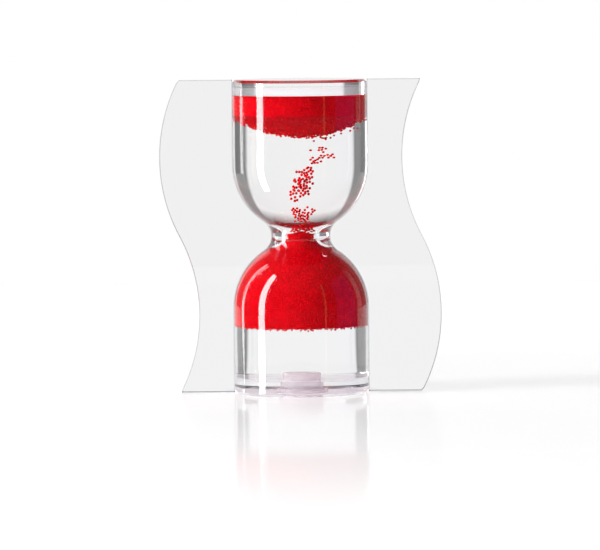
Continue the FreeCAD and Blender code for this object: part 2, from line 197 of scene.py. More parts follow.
def see_through(name, tint, gloss):
    """A face that is mostly see-through: a glued seam, the skin of the liquid, or a satin face."""
    material, output = new_material(name)
    shader = add(material, "ShaderNodeBsdfPrincipled", Base_Color=(*tint, 1), Roughness=0.25)
    through = add(material, "ShaderNodeBsdfTransparent", Color=(*tint, 1))
    share = ranged(material, noise(material, 140, 2.0), 0.5 * gloss, 1.5 * gloss)
    mix = add(material, "ShaderNodeMixShader")
    join(material, share, mix.inputs["Fac"])
    join(material, through.outputs[0], mix.inputs[1])
    join(material, shader.outputs[0], mix.inputs[2])
    join(material, mix.outputs[0], output.inputs["Surface"])
    return material


def coloured(name, dark, light, roughness, scale, ior=1.45, sheen=0.02, islands=False, bump=0.0):
    """A solid plastic whose colour wanders between two shades."""
    material, output = new_material(name)
    shader = add(material, "ShaderNodeBsdfPrincipled", IOR=ior, Specular_IOR_Level=sheen)
    wander = noise(material, scale, 4.0)
    if islands:
        each = add(material, "ShaderNodeNewGeometry").outputs["Random Per Island"]
        blend = add(material, "ShaderNodeMath", operation="MULTIPLY_ADD")
        join(material, each, blend.inputs[0])
        blend.inputs[1].default_value = 0.7
        join(material, ranged(material, wander, 0.0, 0.3), blend.inputs[2])
        wander = blend.outputs[0]
    mix = add(material, "ShaderNodeMix", data_type="RGBA")
    join(material, wander, mix.inputs["Factor"])
    mix.inputs[6].default_value = (*dark, 1)
    mix.inputs[7].default_value = (*light, 1)
    join(material, mix.outputs[2], shader.inputs["Base Color"])
    join(material, ranged(material, wander, 0.8 * roughness, 1.2 * roughness), shader.inputs["Roughness"])
    if bump:
        join(material, bumped(material, noise(material, 6 * scale, 3.0), bump, 0.1 * MM), shader.inputs["Normal"])
    join(material, shader.outputs[0], output.inputs["Surface"])
    return material


OUTSIDE = clear_plastic("clear_acrylic_outside", (0.985, 0.987, 0.992), 1.49)
INSIDE = clear_plastic("clear_acrylic_inside", (0.995, 0.995, 0.997), 1.12, 0.01)
SEAM = see_through("glued_seam", (0.965, 0.965, 0.97), 0.05)
CEILING_FACE = clear_plastic("clear_acrylic_on_beads", (0.99, 0.99, 0.99), 1.04, 0.01)
SHEET = clear_plastic("panel_acrylic", (0.972, 0.972, 0.974), 1.49, 0.01)
# The panel's edge faces pass only about half the light: a painted shade for the dark line along the sheet's edge.
SHEET_EDGE = clear_plastic("panel_acrylic_edge", (0.52, 0.53, 0.56), 1.49, 0.01)
UNDERSIDE = see_through("clear_acrylic_underside", (0.95, 0.92, 0.95), 0.25)
LIQUID = see_through("clear_liquid", (0.993, 0.993, 0.991), 0.001)
BEADS = coloured("red_beads", (0.40, 0.001, 0.003), (0.80, 0.003, 0.010), 0.35, 60, 1.10, islands=True)
# The solid that fills each bed behind its outer beads: red like the beads, and darker than them as painted shade
# between and behind them.
BED_CORE = coloured("red_beads_deep_painted_shade", (0.40, 0.001, 0.004), (0.56, 0.002, 0.008), 0.6, 300, bump=0.4)
PLUG = see_through("plug_plastic", (0.88, 0.82, 0.85), 0.30)

# ------------------------------------------------------------------ mesh helpers


def as_object(name, mesh, materials, node, body="vessel"):
    """The mesh as a piece of the object that rides on a body and stands for a CAD node."""
    piece = bpy.data.objects.new(name, mesh)
    bpy.context.scene.collection.objects.link(piece)
    for material in materials:
        mesh.materials.append(material)
    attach(piece, body)
    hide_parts(node)


def arc(centre_across, centre_height, radius, start, end, steps):
    """Points of an arc in the outline's plane, both ends included. Angles are in radians."""
    return [
        (
            centre_across + radius * math.cos(start + (end - start) * i / steps),
            centre_height + radius * math.sin(start + (end - start) * i / steps),
        )
        for i in range(steps + 1)
    ]


def lathe(name, runs, side=1, around=AROUND):
    """A closed turned mesh. Each run is (points, material index); runs meet at sharp corners unless marked smooth."""
    mesh = bmesh.new()
    rings = []
    corners = []
    for run in runs:
        points, index = run[0], run[1]
        smooth_start = len(run) > 2 and run[2]
        for i, (across, height) in enumerate(points[:-1]):
            corners.append((across, MIDDLE + side * height, index, i > 0 or smooth_start))
    for across, height, _, _ in corners:
        if across < ON_AXIS:
            rings.append([mesh.verts.new((0, 0, height))])
        else:
            rings.append(
                [
                    mesh.verts.new((across * math.cos(TURN * k / around), across * math.sin(TURN * k / around), height))
                    for k in range(around)
                ]
            )
    count = len(rings)
    for i in range(count):
        first, second = rings[i], rings[(i + 1) % count]
        index = corners[i][2]
        if len(first) == 1 and len(second) == 1:
            continue
        for k in range(around):
            nxt = (k + 1) % around
            if len(first) == 1:
                face = mesh.faces.new((first[0], second[k], second[nxt]))
            elif len(second) == 1:
                face = mesh.faces.new((first[k], first[nxt], second[0]))
            else:
                face = mesh.faces.new((first[k], first[nxt], second[nxt], second[k]))
            face.material_index = index
            face.smooth = True
    for i, ring in enumerate(rings):
        if len(ring) > 1 and not corners[i][3]:
            for k in range(around):
                edge = mesh.edges.get((ring[k], ring[(k + 1) % around]))
                if edge:
                    edge.smooth = False
    bmesh.ops.recalc_face_normals(mesh, faces=mesh.faces)
    data = bpy.data.meshes.new(name)
    mesh.to_mesh(data)
    mesh.free()
    return data


def extruded(name, outline, half, rim_index):
    """A flat sheet in the XZ plane, with a thin rim of its own material."""
    mesh = bmesh.new()
    front = [mesh.verts.new((x, -half, z)) for x, z in outline]
    back = [mesh.verts.new((x, half, z)) for x, z in outline]
    mesh.faces.new(front)
    mesh.faces.new(list(reversed(back)))
    for i in range(len(outline)):
        j = (i + 1) % len(outline)
        face = mesh.faces.new((front[i], back[i], back[j], front[j]))
        face.material_index = rim_index
    bmesh.ops.recalc_face_normals(mesh, faces=mesh.faces)
    rim = [e for e in mesh.edges if abs(e.verts[0].co.y - e.verts[1].co.y) < half / 10]
    bmesh.ops.bevel(mesh, geom=rim, offset=SHEET_BEVEL, segments=1, affect="EDGES", material=rim_index)
    data = bpy.data.meshes.new(name)
    mesh.to_mesh(data)
    mesh.free()
    return data


def ball_shape(fine):
    """Corners and faces of a ball of radius 1."""
    mesh = bmesh.new()
    bmesh.ops.create_icosphere(mesh, subdivisions=2 if fine else 1, radius=1.0)
    mesh.verts.index_update()
    corners = [tuple(v.co) for v in mesh.verts]
    faces = [tuple(v.index for v in f.verts) for f in mesh.faces]
    mesh.free()
    return corners, faces


BALLS = {fine: ball_shape(fine) for fine in (False, True)}


def bead_mesh(name, places, fine=False):
    """One mesh of many separate balls."""
    corners, faces = BALLS[fine]
    points, polygons = [], []
    for number, (x, y, z) in enumerate(places):
        start = number * len(corners)
        points.extend((x + BEAD_RADIUS * a, y + BEAD_RADIUS * b, z + BEAD_RADIUS * c) for a, b, c in corners)
        polygons.extend(tuple(start + i for i in face) for face in faces)
    data = bpy.data.meshes.new(name)
    data.from_pydata(points, [], polygons)
    data.polygons.foreach_set("use_smooth", [True] * len(data.polygons))
    data.update()
    return data


def along(points):
    """The running length at each corner of a line of points."""
    lengths = [0.0]
    for (a, b), (c, d) in zip(points, points[1:]):
        lengths.append(lengths[-1] + math.hypot(c - a, d - b))
    return lengths


def beads_over(points, inward, seed, side=1, loose=BEAD_SLACK, heave=0.0):
    """Places of beads that cover a turned surface from within.

    inward is +1 if the solid is left of the line of points. loose is the most that a bead strays, heave how far
    whole patches sink.
    """
    chance = random.Random(seed)
    lengths = along(points)
    rows = max(1, int(lengths[-1] / (0.84 * BEAD_PITCH)))
    places = []
    for row in range(rows + 1):
        target = lengths[-1] * row / rows
        i = max(k for k in range(len(points) - 1) if lengths[k] <= target + 1e-12)
        share = (target - lengths[i]) / max(lengths[i + 1] - lengths[i], 1e-12)
        (r0, h0), (r1, h1) = points[i], points[i + 1]
        run = math.hypot(r1 - r0, h1 - h0)
        nr, nh = -(h1 - h0) / run * inward, (r1 - r0) / run * inward
        across, height = r0 + (r1 - r0) * share, h0 + (h1 - h0) * share
        ring = across + nr * BEAD_RADIUS
        if ring < 0.4 * BEAD_PITCH:
            places.append((0.0, 0.0, MIDDLE + side * (height + nh * BEAD_RADIUS)))
            continue
        count = max(1, int(TURN * ring / BEAD_PITCH))
        phase = chance.random() * TURN
        for k in range(count):
            angle = phase + TURN * (k + chance.uniform(-0.3, 0.3)) / count
            swell = 0.5 + 0.5 * math.sin(7 * angle + 3 * math.sin(4 * angle + target / MM))
            extra = chance.random() * loose + swell * heave
            slide = chance.uniform(-0.7, 0.7) * loose
            r = across + nr * (BEAD_RADIUS + extra) + slide * (r1 - r0) / run
            h = height + nh * (BEAD_RADIUS + extra) + slide * (h1 - h0) / run
            places.append((r * math.cos(angle), r * math.sin(angle), MIDDLE + side * h))
    return places


# ------------------------------------------------------------------ outlines


def fillet_point(fillet, neck, height):
    """How far from the axis the neck's hollow curve is at a height from the middle."""
    return neck + fillet - math.sqrt(fillet**2 - height**2)


def neck_and_shoulder(radius, fillet, neck, start):
    """The curve from a height near the middle, over the neck and the shoulder, to the straight wall."""
    centre = neck + fillet
    meet_h = SHOULDER * fillet / (radius + fillet)
    meet_r = centre * radius / (radius + fillet)
    first = math.atan2(start, fillet_point(fillet, neck, start) - centre)
    last = math.atan2(meet_h, meet_r - centre)
    hollow = arc(centre, 0, fillet, first, last, HOLLOW_STEPS)
    shoulder = arc(0, SHOULDER, radius, math.atan2(meet_h - SHOULDER, meet_r), 0, SHOULDER_STEPS)
    return hollow, shoulder


def shell_mesh(name, side):
    """One chamber: outside face, seam at the cap, inside face, seam at the disc."""
    hollow, shoulder = neck_and_shoulder(TUBE_RADIUS, NECK_FILLET, NECK_RADIUS, DISC_HALF)
    in_hollow, in_shoulder = neck_and_shoulder(INNER_RADIUS, BORE_FILLET, NECK_BORE_RADIUS, DISC_HALF)
    far = MIDDLE - CAP_FLANGE
    runs = [
        (hollow, 0),
        (shoulder, 0, True),
        ([(TUBE_RADIUS, SHOULDER), (TUBE_RADIUS, far)], 0, True),
        ([(TUBE_RADIUS, far), (INNER_RADIUS, far)], 2),
        ([(INNER_RADIUS, far), (INNER_RADIUS, CEILING)], 2),
        ([(INNER_RADIUS, CEILING), (INNER_RADIUS, SHOULDER)], 1),
        (list(reversed(in_shoulder)), 1, True),
        (list(reversed(in_hollow)), 1, True),
        ([in_hollow[0], hollow[0]], 2),
    ]
    return lathe(name, runs, side)


def cap_mesh(name, side, holed):
    """A flat end with a bevelled rim. The lower one has the filling hole."""
    seat = MIDDLE - CAP_FLANGE + GLUE_GAP
    spigot = INNER_RADIUS - GLUE_GAP
    rim = TUBE_RADIUS - RIM_CHAMFER
    inside, outside = CEILING, MIDDLE
    runs = []
    if holed:
        hole = PLUG_RADIUS + GLUE_GAP
        counterbore = PLUG_FLANGE_RADIUS + GLUE_GAP
        ledge = MIDDLE - PLUG_BOTTOM - PLUG_FLANGE_THICKNESS - GLUE_GAP
        runs.append(([(hole, inside), (spigot, inside)], 1))
    else:
        runs.append(([(0, inside), (spigot, inside)], 1))
    runs += [
        ([(spigot, inside), (spigot, seat)], 2),
        ([(spigot, seat), (TUBE_RADIUS, seat)], 2),
        ([(TUBE_RADIUS, seat), (TUBE_RADIUS, MIDDLE - RIM_CHAMFER)], 0),
        ([(TUBE_RADIUS, MIDDLE - RIM_CHAMFER), (rim, outside)], 0),
    ]
    if holed:
        runs += [
            ([(rim, outside), (counterbore, outside)], 3),
            ([(counterbore, outside), (counterbore, ledge)], 2),
            ([(counterbore, ledge), (hole, ledge)], 2),
            ([(hole, ledge), (hole, inside)], 2),
        ]
    else:
        runs.append(([(rim, outside), (0, outside), (0, inside)], 0))
    return lathe(name, runs, side)


def plug_mesh(name):
    """The plug in the filling hole, measured from the middle downwards."""
    top = MIDDLE - PLUG_TOP
    bottom = MIDDLE - PLUG_BOTTOM
    ledge = bottom - PLUG_FLANGE_THICKNESS
    points = [
        (0, top),
        (PLUG_RADIUS - PLUG_CHAMFER, top),
        (PLUG_RADIUS, top + PLUG_CHAMFER),
        (PLUG_RADIUS, ledge),
        (PLUG_FLANGE_RADIUS, ledge),
        (PLUG_FLANGE_RADIUS, bottom),
        (0, bottom),
    ]
    return lathe(name, [([a, b], 0) for a, b in zip(points, points[1:] + points[:1])], -1, AROUND // 2)


def panel_outline():
    """The right panel's outline: it follows the vessel inside, and is an S of two equal arcs outside."""
    gap = GLUE_GAP
    hollow, shoulder = neck_and_shoulder(TUBE_RADIUS + gap, NECK_FILLET - gap, NECK_RADIUS + gap, 0)
    inner = hollow + shoulder[1:]
    inner = [(r, MIDDLE + h) for r, h in inner] + [(TUBE_RADIUS + gap, HEIGHT)]
    lower = [(r, HEIGHT - z) for r, z in reversed(inner)][:-1]
    quarter = HEIGHT / 4
    radius = (quarter**2 + PANEL_BULGE**2) / (2 * PANEL_BULGE)
    swing = math.asin(quarter / radius)
    low = arc(PANEL_REACH + PANEL_BULGE - radius, quarter, radius, -swing, swing, PANEL_STEPS)
    high = arc(PANEL_REACH - PANEL_BULGE + radius, 3 * quarter, radius, math.pi + swing, math.pi - swing, PANEL_STEPS)
    outer = low + high[1:]
    c = PANEL_CORNER
    first, last = (outer[0][0] - c, outer[0][1]), (outer[-1][0] - c, HEIGHT)
    outer = [first] + [p for p in outer if c < p[1] < HEIGHT - c] + [last]
    return lower + inner + list(reversed(outer))


def mound(drop=0.0):
    """The underside of the upper bed, from the axis to the wall."""
    radius = (MOUND_REACH**2 + MOUND_DROP**2) / (2 * MOUND_DROP)
    end = math.asin(MOUND_REACH / radius)
    turns = [end * i / MOUND_STEPS for i in range(MOUND_STEPS + 1)]
    curve = [(radius * math.sin(t), TOP_BED_APEX - drop + radius * (1 - math.cos(t))) for t in turns]
    return curve + [(WET_RADIUS, BED_WALL - drop)]


def mound_level(reach):
    """The height of the upper bed's underside at a distance from the axis."""
    line = mound()
    (r0, h0), (r1, h1) = next((a, b) for a, b in zip(line, line[1:]) if a[0] <= reach <= b[0])
    return MIDDLE + (h0 + (h1 - h0) * (reach - r0) / (r1 - r0))


def crater(drop=0.0):
    """The underside of the lower bed, from the wall to the axis, as heights down from the middle."""
    floor = LOW_BED_UNDERSIDE - CRATER_DEPTH
    return [
        (WET_RADIUS, LOW_BED_UNDERSIDE + drop),
        (WET_RADIUS - CRATER_RIM_WIDTH, LOW_BED_UNDERSIDE + drop),
        (DISC_BORE, floor + drop),
        (0, floor + drop),
    ]


# ------------------------------------------------------------------ the clear pieces

CLEAR = [OUTSIDE, INSIDE, SEAM]
CAPPED = [OUTSIDE, CEILING_FACE, SEAM]

as_object("upper_shell", shell_mesh("upper_shell", 1), CLEAR, "upper_chamber")
as_object("lower_shell", shell_mesh("lower_shell", -1), CLEAR, "lower_chamber")
as_object("upper_cap", cap_mesh("upper_cap", 1, False), CAPPED, "upper_end_cap")
as_object("lower_cap", cap_mesh("lower_cap", -1, True), CLEAR + [UNDERSIDE], "lower_end_cap")
as_object("plug", plug_mesh("plug"), [PLUG], "fill_plug")

disc = DISC_HALF - GLUE_GAP
neck_ring = lathe(
    "neck_ring",
    [
        ([(DISC_BORE, -disc), (fillet_point(NECK_FILLET, NECK_RADIUS, disc), -disc)], 2),
        ([(fillet_point(NECK_FILLET, NECK_RADIUS, h), h) for h in (-disc, -disc / 2, 0.0, disc / 2, disc)], 0),
        ([(fillet_point(NECK_FILLET, NECK_RADIUS, disc), disc), (DISC_BORE, disc)], 2),
        ([(DISC_BORE, disc), (DISC_BORE, -disc)], 1),
    ],
)
as_object("neck_ring", neck_ring, CLEAR, "neck_disc")

right_outline = panel_outline()
left_outline = [(-x, HEIGHT - z) for x, z in right_outline]
for name, node, outline in (
    ("right_panel", "right_side_panel", right_outline),
    ("left_panel", "left_side_panel", left_outline),
):
    as_object(name, extruded(name, outline, PANEL_HALF, 1), [SHEET, SHEET_EDGE], node)

# ------------------------------------------------------------------ the liquid

skin = LIQUID_GAP
hollow, shoulder = neck_and_shoulder(WET_RADIUS, BORE_FILLET + skin, NECK_BORE_RADIUS - skin, DISC_HALF + skin)
under = mound(skin)
upper_fill = lathe(
    "upper_fill",
    [
        ([(0, HEAP_TOP + skin), (COLUMN_RADIUS, DISC_HALF + skin)], 0),
        ([(COLUMN_RADIUS, DISC_HALF + skin), hollow[0]], 0),
        (hollow, 0),
        (shoulder, 0, True),
        ([(WET_RADIUS, SHOULDER), (WET_RADIUS, BED_WALL - skin)], 0, True),
        (list(reversed(under)), 0),
        ([under[0], (0, HEAP_TOP + skin)], 0),
    ],
)
as_object("upper_fill", upper_fill, [LIQUID], "upper_liquid")

floor_level = CEILING - skin
hollow_under = crater(skin)
plug_side = PLUG_RADIUS + skin
lower_points = [
    (plug_side, MIDDLE - PLUG_TOP - skin),
    (plug_side, floor_level),
    (WET_RADIUS, floor_level),
    *hollow_under,
    (0, MIDDLE - PLUG_TOP - skin),
]
lower_fill = lathe(
    "lower_fill",
    [([a, b], 0) for a, b in zip(lower_points, lower_points[1:] + lower_points[:1])],
    -1,
)
as_object("lower_fill", lower_fill, [LIQUID], "lower_liquid")

# ------------------------------------------------------------------ the beads

def shifted(points, by):
    """The points moved along the vessel's axis."""
    return [(r, h + by) for r, h in points]


bed_top = CEILING - skin
core_radius = WET_RADIUS - CORE_DEPTH
core_under = [p for p in mound(-CORE_DEPTH) if p[0] < core_radius] + [(core_radius, BED_WALL + CORE_DEPTH)]
upper_core = lathe(
    "upper_bed_core",
    [
        (list(reversed(core_under)), 0),
        ([core_under[0], (0, bed_top - CORE_DEPTH)], 0),
        ([(0, bed_top - CORE_DEPTH), (core_radius, bed_top - CORE_DEPTH)], 0),
        ([(core_radius, bed_top - CORE_DEPTH), core_under[-1]], 0),
    ],
)
as_object("upper_bed_core", upper_core, [BED_CORE], "upper_bead_bed")

lower_hollow, lower_shoulder = neck_and_shoulder(
    WET_RADIUS - CORE_DEPTH, BORE_FILLET + skin + CORE_DEPTH, NECK_BORE_RADIUS - skin - CORE_DEPTH, DISC_HALF
)
core_crater = [(core_radius, LOW_BED_UNDERSIDE - CORE_DEPTH)] + shifted(crater()[1:], -CORE_DEPTH)
lower_core = lathe(
    "lower_bed_core",
    [
        ([(0, DISC_HALF), lower_hollow[0]], 0),
        (lower_hollow, 0),
        (lower_shoulder, 0, True),
        ([lower_shoulder[-1], core_crater[0]], 0, True),
        (core_crater, 0),
        ([core_crater[-1], (0, DISC_HALF)], 0),
    ],
    -1,
)
as_object("lower_bed_core", lower_core, [BED_CORE], "lower_bead_bed")

column_core_radius = COLUMN_RADIUS - CORE_DEPTH
column_core = lathe(
    "neck_core",
    [
        ([(0, -disc + skin), (column_core_radius, -disc + skin)], 0),
        ([(column_core_radius, -disc + skin), (column_core_radius, DISC_HALF - CORE_UNDER_HEAP)], 0),
        ([(column_core_radius, DISC_HALF - CORE_UNDER_HEAP), (0, HEAP_TOP - CORE_UNDER_APEX)], 0),
        ([(0, HEAP_TOP - CORE_UNDER_APEX), (0, -disc + skin)], 0),
    ],
    around=64,
)
as_object("neck_core", column_core, [BED_CORE], "neck_beads")

inside_r = WET_RADIUS - 2 * BEAD_RADIUS
wall = [(WET_RADIUS, bed_top - 2 * BEAD_RADIUS), (WET_RADIUS, BED_WALL + BEAD_RADIUS)]
ceiling_line = [(0, bed_top), (WET_RADIUS - BEAD_RADIUS, bed_top)]
under_line = [p for p in mound() if p[0] < inside_r] + [(inside_r, BED_WALL)]
thinning = random.Random(10)
RAGGED = 2.2 * MM  # how high the side beads' lower edge is ragged
side_beads = [
    spot
    for spot in beads_over(wall, -1, 11)
    if spot[2] - MIDDLE - BED_WALL > BEAD_RADIUS + thinning.random() ** 2 * RAGGED
]
UNDER_SLACK = 0.4 * MM
bead_groups = {
    "upper_bed_side_beads": ("upper_bead_bed", side_beads),
    "upper_bed_top_beads": ("upper_bead_bed", beads_over(ceiling_line, -1, 12)),
    "upper_bed_under_beads": (
        "upper_bead_bed",
        beads_over(under_line, 1, 13, loose=UNDER_SLACK, heave=0.5 * MM),
    ),
}
dome_hollow, dome_shoulder = neck_and_shoulder(
    WET_RADIUS, BORE_FILLET + skin, NECK_BORE_RADIUS - skin, DISC_HALF + BEAD_RADIUS
)
dome_line = dome_hollow + dome_shoulder[1:] + [(WET_RADIUS, LOW_BED_UNDERSIDE - BEAD_RADIUS)]
crater_line = [(inside_r, LOW_BED_UNDERSIDE)] + crater()[1:]
bead_groups["lower_bed_dome_beads"] = ("lower_bead_bed", beads_over(dome_line, 1, 14, side=-1))
bead_groups["lower_bed_under_beads"] = (
    "lower_bead_bed",
    beads_over(crater_line, 1, 15, side=-1, loose=UNDER_SLACK, heave=0.2 * MM),
)
column_line = [(COLUMN_RADIUS, -disc + 2 * BEAD_RADIUS), (COLUMN_RADIUS, DISC_HALF - BEAD_RADIUS)]
heap_line = [(0.0, HEAP_TOP), (COLUMN_RADIUS - BEAD_RADIUS, DISC_HALF + HEAP_SHOULDER)]
bead_groups["neck_column_beads"] = (
    "neck_beads",
    beads_over(column_line, 1, 16) + beads_over(heap_line, -1, 17),
)


def clear_of(spot, others, radii=2.0):
    """Whether a bead at the spot touches none of the others."""
    return all(math.dist(spot, other) > radii * BEAD_RADIUS for other in others)


def loose_places(centre, halves, count, seed):
    """Beads strewn through an ellipsoid, none touching another."""
    chance = random.Random(seed)
    places = []
    while len(places) < count:
        share = [chance.uniform(-1, 1) for _ in range(3)]
        spot = tuple(c + s * h for c, s, h in zip(centre, share, halves))
        if sum(s * s for s in share) < 1 and clear_of(spot, places):
            places.append(spot)
    return places


# Beads on their way out of the neck, and stragglers near the upper bed that leave a rising clump's way free
above_heap = (PUFF_CENTRE[0], PUFF_CENTRE[1], MIDDLE + HEAP_TOP + PUFF_CENTRE[2])
bead_groups["neck_rising_beads"] = ("neck_beads", loose_places(above_heap, PUFF_HALVES, 120, 18))
chance = random.Random(19)
lane = [middle_and_half("rising_beads_mid", axis) for axis in range(2)]
stragglers = []
while len(stragglers) < 60:
    x, y = chance.uniform(2 * MM, 17 * MM), chance.uniform(-9 * MM, 5 * MM)
    if all(abs(at - mid) < half + 2 * BEAD_RADIUS for at, (mid, half) in zip((x, y), lane)):
        continue
    spot = (x, y, mound_level(math.hypot(x, y)) - chance.uniform(0.0, 1.5) ** 2 * MM)
    if clear_of(spot, stragglers):
        stragglers.append(spot)
bead_groups["upper_bed_stragglers"] = ("upper_bead_bed", stragglers)


def fringe(count, seed, spot_of):
    """Single beads that stick out of a bed's underside, none touching another."""
    chance = random.Random(seed)
    places = []
    while len(places) < count:
        spot = spot_of(chance)
        if clear_of(spot, places):
            places.append(spot)
    return places


def on_mound(chance):
    """A place at the upper bed's underside."""
    reach = (WET_RADIUS - 1.2 * BEAD_RADIUS) * math.sqrt(chance.random())
    angle = TURN * chance.random()
    height = mound_level(reach) + chance.uniform(-0.35, 0.3) * MM
    return reach * math.cos(angle), reach * math.sin(angle), height


def on_low_rim(chance):
    """A place near the wall, at the lower bed's underside."""
    reach = WET_RADIUS - BEAD_RADIUS - chance.random() * 1.5 * MM
    angle = TURN * chance.random()
    height = MIDDLE - LOW_BED_UNDERSIDE + chance.uniform(-0.45, 0.4) * MM
    return reach * math.cos(angle), reach * math.sin(angle), height


bead_groups["upper_bed_fringe"] = ("upper_bead_bed", fringe(420, 20, on_mound))
bead_groups["lower_bed_fringe"] = ("lower_bead_bed", fringe(130, 21, on_low_rim))
for name, (node, places) in bead_groups.items():
    as_object(name, bead_mesh(name, places), [BEADS], node)

# Each rising clump is a few loose groups: shares of the clump's half sizes (across, deep, up), spread and bead count
RISING = {
    "low": [
        (-0.15, -0.1, -0.05, 0.42, 30),
        (-0.70, 0.1, 0.60, 0.26, 10),
        (0.35, 0.0, -0.80, 0.26, 12),
        (0.80, 0.0, 0.60, 0.10, 2),
        (0.00, 0.0, 0.30, 0.80, 8),
    ],
    "mid": [
        (-0.05, 0.0, -0.25, 0.40, 44),
        (0.40, 0.2, 0.45, 0.34, 20),
        (0.62, -0.2, 0.82, 0.20, 10),
        (-0.50, 0.0, -0.60, 0.30, 9),
        (0.00, 0.0, 0.00, 0.90, 10),
    ],
    "high": [
        (-0.40, 0.0, -0.80, 0.34, 13),
        (-0.90, 0.0, 0.70, 0.12, 3),
        (0.05, 0.0, 0.85, 0.24, 7),
        (0.12, 0.1, -0.10, 0.22, 5),
        (0.65, 0.0, -0.10, 0.20, 5),
    ],
}


def rising_places(clump, groups, seed):
    """Loose groups of beads inside the clump's box, none touching another."""
    chance = random.Random(seed)
    spans = [middle_and_half(f"rising_beads_{clump}", axis) for axis in range(3)]
    places = []
    for across, deep, up, spread, count in groups:
        made = tries = 0
        while made < count and tries < 400:
            tries += 1
            share = [chance.gauss(centre, spread / 2) for centre in (across, deep, up)]
            if share[0] ** 2 + share[1] ** 2 > 1 or abs(share[2]) > 1:
                continue
            spot = tuple(mid + s * (half - BEAD_RADIUS) for s, (mid, half) in zip(share, spans))
            if clear_of(spot, places, 2.04):
                places.append(spot)
                made += 1
    return places


for seed, (clump, groups) in enumerate(RISING.items(), start=31):
    name = f"rising_{clump}"
    mesh = bead_mesh(name, rising_places(clump, groups, seed), fine=True)
    as_object(name, mesh, [BEADS], f"rising_beads_{clump}", f"{clump}_clump")

# ------------------------------------------------------------------ the studio

FLOOR_HALF_WIDTH = 0.5
FLOOR_FRONT, FLOOR_BACK = -0.75, 0.60
FLOOR_GAP = 0.05 * MM
BAND_ORIGIN = -0.038
# Floor tone under the base, seen through the clear plastic: a painted contact shadow.
UNDER_BASE_PAINTED_SHADOW = (0.80, 0.74, 0.79)
BEHIND_PANELS = (0.945, 0.945, 0.95)
OVERHEAD = (0.07, 0.07, 0.075)
# The floor's glow rises from near to far between these distances from the axis; kept lower near the object, it paints
# shade around the base.
FLOOR_NEAR, FLOOR_FAR = 0.10, 0.42
GLOSSY_UNTIL, DULL_FROM = -0.05, -0.41
FLOOR_GREY = (0.80, 0.80, 0.80)
GLOSSY_GLOW, DULL_GLOW = (0.28, 0.41), (0.37, 0.52)
BANDS_FADE_IN = (0.045, 0.060)
LEFT_SHARE, LEFT_FADE = 0.15, (-0.62, -0.48)
OVERHEAD_FADE = (0.40, 0.62)

# The studio's brightness against the angle from straight behind, as a share of half a turn: a white sheet, the dark
# gap beside it, a pale side, and the room in front. Light that the clear plastic bends meets a less dark room.
BACKDROP_STOPS = [(0.0, 0.955), (0.155, 0.955), (0.172, 0.26), (0.26, 0.16), (0.28, 0.16)]
STUDIO_STOPS = BACKDROP_STOPS + [(0.30, 0.45), (0.36, 0.45), (0.38, 0.03), (0.50, 0.02), (1.0, 0.015)]
BENT_STOPS = BACKDROP_STOPS + [(0.30, 0.75), (0.36, 0.75), (0.40, 0.30), (1.0, 0.30)]


def calc(owner, operation, first, second=0.0):
    """A maths node whose inputs are sockets or numbers."""
    node = add(owner, "ShaderNodeMath", operation=operation)
    for socket, value in zip(node.inputs, (first, second)):
        if isinstance(value, (int, float)):
            socket.default_value = value
        else:
            join(owner, value, socket)
    return node.outputs[0]


def studio_level(owner, x, y, stops):
    """The studio's grey in the direction (x, y)."""
    share = calc(owner, "DIVIDE", calc(owner, "ARCTAN2", calc(owner, "ABSOLUTE", x), y), math.pi)
    ramp = add(owner, "ShaderNodeValToRGB")
    join(owner, share, ramp.inputs["Fac"])
    elements = ramp.color_ramp.elements
    while len(elements) > 1:
        elements.remove(elements[-1])
    for i, (at, level) in enumerate(stops):
        element = elements[0] if i == 0 else elements.new(at)
        element.position = at
        element.color = (level, level, level, 1)
    return ramp.outputs["Color"]


